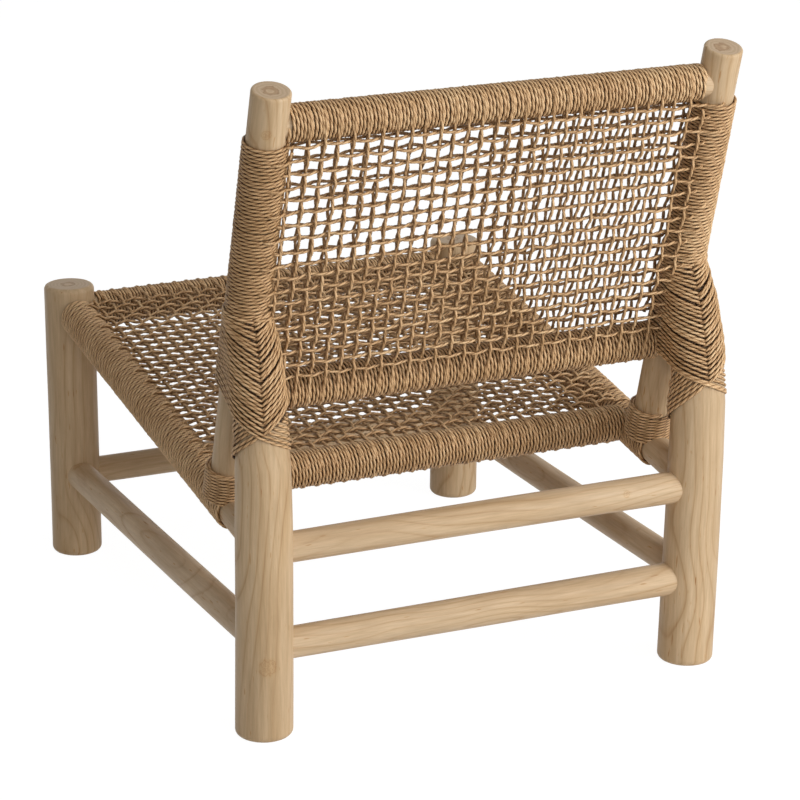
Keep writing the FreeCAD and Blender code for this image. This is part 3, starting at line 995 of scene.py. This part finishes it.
def seat_weave():
    ends = rail_middle(front_rail_axis), rail_middle(rear_rail_axis)
    up = np.cross(X, unit(ends[1] - ends[0]))
    radii = (front_rail_radius, rear_rail_radius)
    front_rise = side_rail_front_height - front_rail_height
    in_place = {1: 0.0, -1: 0.0}
    top_warps = warp_places(seat_edge_warp, warp_pitch, even(0.0))
    under_warps = warp_places(seat_edge_warp, under_warp_pitch, even(under_warp_shift))
    # packed is the shade painted on the sides of each layer's cords turned away from its way out
    for node, way, warps, wefts, odd, packed, seed in (
        ("seat_net_top", 1, top_warps, (first_weft, weft_pitch), 0, 0.36, 121),
        ("seat_net_under", -1, under_warps, (far_first_weft, under_weft_pitch), 1, 0.28, 131),
    ):
        bars = (side_rail_radius, tapering(way * front_rise, -way * rear_rail_rise, 1), in_place)
        Layer(node, ends, way * up, radii, bars, warps, wefts, odd, packed, seed).build()


# Lashings
def lashing_form(z, depth):
    """At a height: a lashing's radius round the leg and round the post, how far the post's axis is ahead of
    the leg's, and how far the cord turns in on its way from one to the other."""
    leg = core_radius(z) + lashing_cord / 2 + depth
    post = post_radius + lashing_cord / 2 + depth
    gap = post_ahead(z) - core_lean(z)
    tilt = math.asin(clamped((leg - post) / max(gap, least_span), -steepest, steepest))
    return leg, post, gap, tilt


def half_round(z):
    """How far it is from the rear of a lashing to its front."""
    leg, post, gap, tilt = lashing_form(z, 0)
    if gap < leg - post + least_gap:
        return math.pi * leg
    return leg * (math.pi / 2 + tilt) + gap * math.cos(tilt) + post * (math.pi / 2 - tilt)


def lashing_point(arc, z, side, depth, with_post):
    """A point on the lashing of a rear leg, and the way out there. arc runs round it from its rear,
    positive towards the chair's inner side. With the post, it goes on past the leg's sides round both."""
    leg, post, gap, tilt = lashing_form(z, depth)
    corner = leg * (math.pi / 2 + tilt)
    angle = abs(arc) / leg
    x = leg * math.sin(angle)
    y = leg * math.cos(angle)
    if with_post and abs(arc) > corner and gap > leg - post + least_gap:
        angle = math.pi / 2 + tilt
        past = abs(arc) - corner
        bridge = gap * math.cos(tilt)
        x = leg * math.cos(tilt) - min(past, bridge) * math.sin(tilt)
        y = -leg * math.sin(tilt) - min(past, bridge) * math.cos(tilt)
        if past > bridge:
            angle += (past - bridge) / post
            x = post * math.sin(angle)
            y = -gap + post * math.cos(angle)
    inward = math.copysign(1, arc)
    carved = clamped((z - neck_height) / (core_heights[-1] - neck_height), 0.0, 1.0)
    out = leg_out(min(z, neck_height), side) * (1 - carved) + post_out[side] * carved
    out += (post_out[side] - out) * clamped(-y / max(gap, least_span), 0.0, 1.0)
    point = vec(side * (leg_half_spacing + out - inward * x), rear_y - core_lean(z) + y, z)
    return point, vec(-side * inward * math.sin(angle), math.cos(angle), 0)


def crossing_strand(low, way, rise, fall, turned, side, lap, raised):
    """One cord of the cross lashing. It rises round one side of the leg and the post on top of the others,
    way being the sign of that side, and from the middle line on it falls round the leg's other side under
    them. turned is the middle line's angle from the leg's rear, lap how far past it the cord is on top, and
    raised how far it stands proud of its place."""
    middle = turned * (core_radius(low) + lashing_cord / 2)
    points, ways, under = [], [], []
    for run in np.concatenate([np.linspace(-rise_reach, 0, 90)[:-1], np.linspace(0, fall_reach, 60)]):
        sunk = 1 / (1 + math.exp(-(run - lap) / sink_run))
        if run < 0:
            z = low - rise * rise_ease * math.tanh(run / rise_ease)
        else:
            z = low - fall * fall_ease * math.tanh(run / fall_ease)
        arc = middle - way * run
        if run < 0 and abs(arc) > half_round(z) + front_lap:
            continue
        point, out = lashing_point(arc, z, side, strand_height + raised - sink_depth * sunk, run < 0)
        points.append(point)
        ways.append(out)
        # Painted shade on the part that lies under the strands above it
        covered = z > chevron_bottom[side] + open_fall + open_fall_slope * run
        under.append(painted_shade_under_strands * sunk if covered else 0.0)
    return np.array(points), np.array(ways), np.array(under)


def cross_lashing(side, hand):
    rng = np.random.default_rng(141 + side)
    strands = []
    for low in np.arange(chevron_bottom[side], chevron_top, chevron_pitch):
        flat = min(1.0, flattest + (chevron_top - low) / flat_run)
        turned = middle_turn[side]
        turned *= 1 - middle_return[side] * (low - chevron_bottom[side]) / middle_return_run
        for way, rise, fall in (
            (-1, outer_rise[side], inner_fall[side]),
            (1, inner_rise[side], outer_fall[side]),
        ):
            first = way == -side
            start = low + rng.normal() * strand_stray + (0 if first else chevron_pitch / 2)
            lap = first_lap if first else second_lap
            steep = rise * flat * (1 + slope_stray * rng.normal())
            raised = height_stray * rng.normal()
            strands.append(crossing_strand(start, way, steep, fall, turned, side, lap, raised))
    paths, ways, buried = zip(*strands)
    cords("cross_lashing_" + hand, paths, ways, 141 + side, lashing_cord, lashing_painted_shade[side], buried)


def foot_lashing(side, hand):
    """Two layers of turns round the post's foot, over the side rail."""
    foot = post_foot_point(side) + post_axis * foot_lashing_start
    top = foot + post_axis * foot_lashing_pitch * foot_lashing_turns
    turns = []
    for layer in (0, 1):
        radius = post_radius + cord_radius + layer * foot_lashing_layer
        turns.append(winding(foot, top, radius, 151 + side + layer, foot_lashing_pitch))
    paths, ways = zip(*turns)
    # Shade is painted between the turns, by the default amount in cords
    cords("post_foot_lashing_" + hand, paths, ways, 151 + side, free=2 * math.pi * post_radius)


# Studio
def floor():
    mesh = bpy.data.meshes.new("floor")
    edges = (-floor_half, floor_half)
    mesh.from_pydata([(x, y, 0) for x in edges for y in edges], [], [(0, 2, 3, 1)])
    mesh.materials.append(floor_material())
    piece = bpy.data.objects.new("floor", mesh)
    bpy.context.scene.collection.objects.link(piece)


def sky():
    """White to the camera, and a soft warm light to the chair."""
    world = bpy.data.worlds.new("studio")
    n = Nodes(world)
    soft = n.tree.nodes["Background"]
    n.feed(soft, {"Color": (1.0, 0.965, 0.92), "Strength": 0.18})
    white = n.add("ShaderNodeBackground")
    n.feed(white, {"Color": plain})
    n.feed(n.tree.nodes["World Output"], {"Surface": for_the_eye(n, soft, white)})
    bpy.context.scene.world = world


def lamp(name, place, size, power):
    light = bpy.data.lights.new(name, "AREA")
    light.size = size
    light.energy = power
    piece = bpy.data.objects.new(name, light)
    piece.matrix_world = placed(place, np.array(place) - np.array(lamp_aim))
    bpy.context.scene.collection.objects.link(piece)


def studio():
    bpy.context.scene.view_settings.view_transform = "Standard"
    floor()
    sky()
    lamp("key", (-2.1, 2.5, 1.5), 1.5, 64)
    lamp("fill", (0.5, 3.3, 1.7), 2.2, 28)
    lamp("top", (0.0, 0.9, 3.2), 2.5, 10)


def camera():
    """The photograph's viewpoint, found by fitting the frame to it."""
    level = math.cos(camera_pitch)
    ahead = Vector((math.sin(camera_yaw) * level, math.cos(camera_yaw) * level, -math.sin(camera_pitch)))
    right = Vector((math.cos(camera_yaw), -math.sin(camera_yaw), 0))
    up = right.cross(ahead)
    data = bpy.data.cameras.new("camera")
    data.sensor_width = camera_sensor
    data.lens = camera_lens
    piece = bpy.data.objects.new("camera", data)
    turn = Matrix((right, up, -ahead)).transposed().to_4x4()
    piece.matrix_world = Matrix.Translation(camera_place) @ turn
    bpy.context.scene.collection.objects.link(piece)
    bpy.context.scene.camera = piece


camera()
studio()
for side, hand in both_sides:
    side_branches(side, hand)
cross_branches()
rail_bindings()
for side, hand in both_sides:
    side_bindings(side, hand)
back_weave()
seat_weave()
for side, hand in both_sides:
    cross_lashing(side, hand)
    foot_lashing(side, hand)
